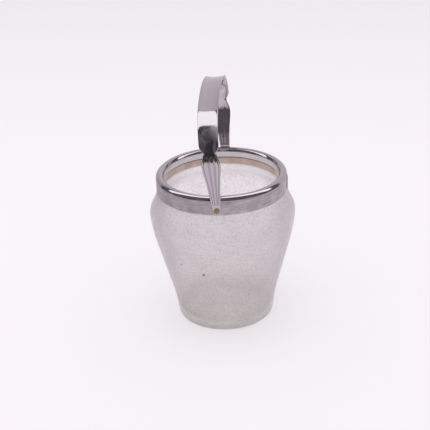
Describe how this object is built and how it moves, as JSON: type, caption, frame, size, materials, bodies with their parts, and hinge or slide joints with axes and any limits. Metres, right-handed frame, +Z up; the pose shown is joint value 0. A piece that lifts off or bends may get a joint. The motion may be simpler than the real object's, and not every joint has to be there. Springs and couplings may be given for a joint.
{
  "type": "ice bucket",
  "caption": "Frosted glass urn-shaped ice bucket with a metal collar round the mouth and a tilting stamped strap bail on brass rivets.",
  "frame": {"origin": "centre of the flat base, where the bucket stands", "axes": "+Z up, -Y the front, +Y the back; the rivets of the bail lie on one line along Y and the lapped seam of the band is at +X"},
  "size_m": [0.1404, 0.1448, 0.2355],
  "materials": {
    "frosted_glass": "acid-frosted, finely pebbled",
    "collar_chrome": "polished",
    "band_steel": "satin, fine lines round the band",
    "plaster": "matt, yellowed",
    "bail_chrome": "polished",
    "rivet_brass": "worn"
  },
  "bodies": {
    "bucket": {"glass_body": "frosted_glass", "collar_roll": "collar_chrome", "collar_band": "band_steel", "rim_cement": "plaster", "front_rivet": "rivet_brass", "rear_rivet": "rivet_brass", "front_washer": "band_steel", "rear_washer": "band_steel", "front_burr": "rivet_brass", "rear_burr": "rivet_brass"},
    "bail": {"bail_handle": "bail_chrome"}
  },
  "joints": [
    {"name": "bail_tilt", "type": "hinge", "parent": "bucket", "child": "bail", "pos_m": [0, 0, 0.1371], "axis": [0, 1, 0], "range_deg": [-120, 120]}
  ]
}
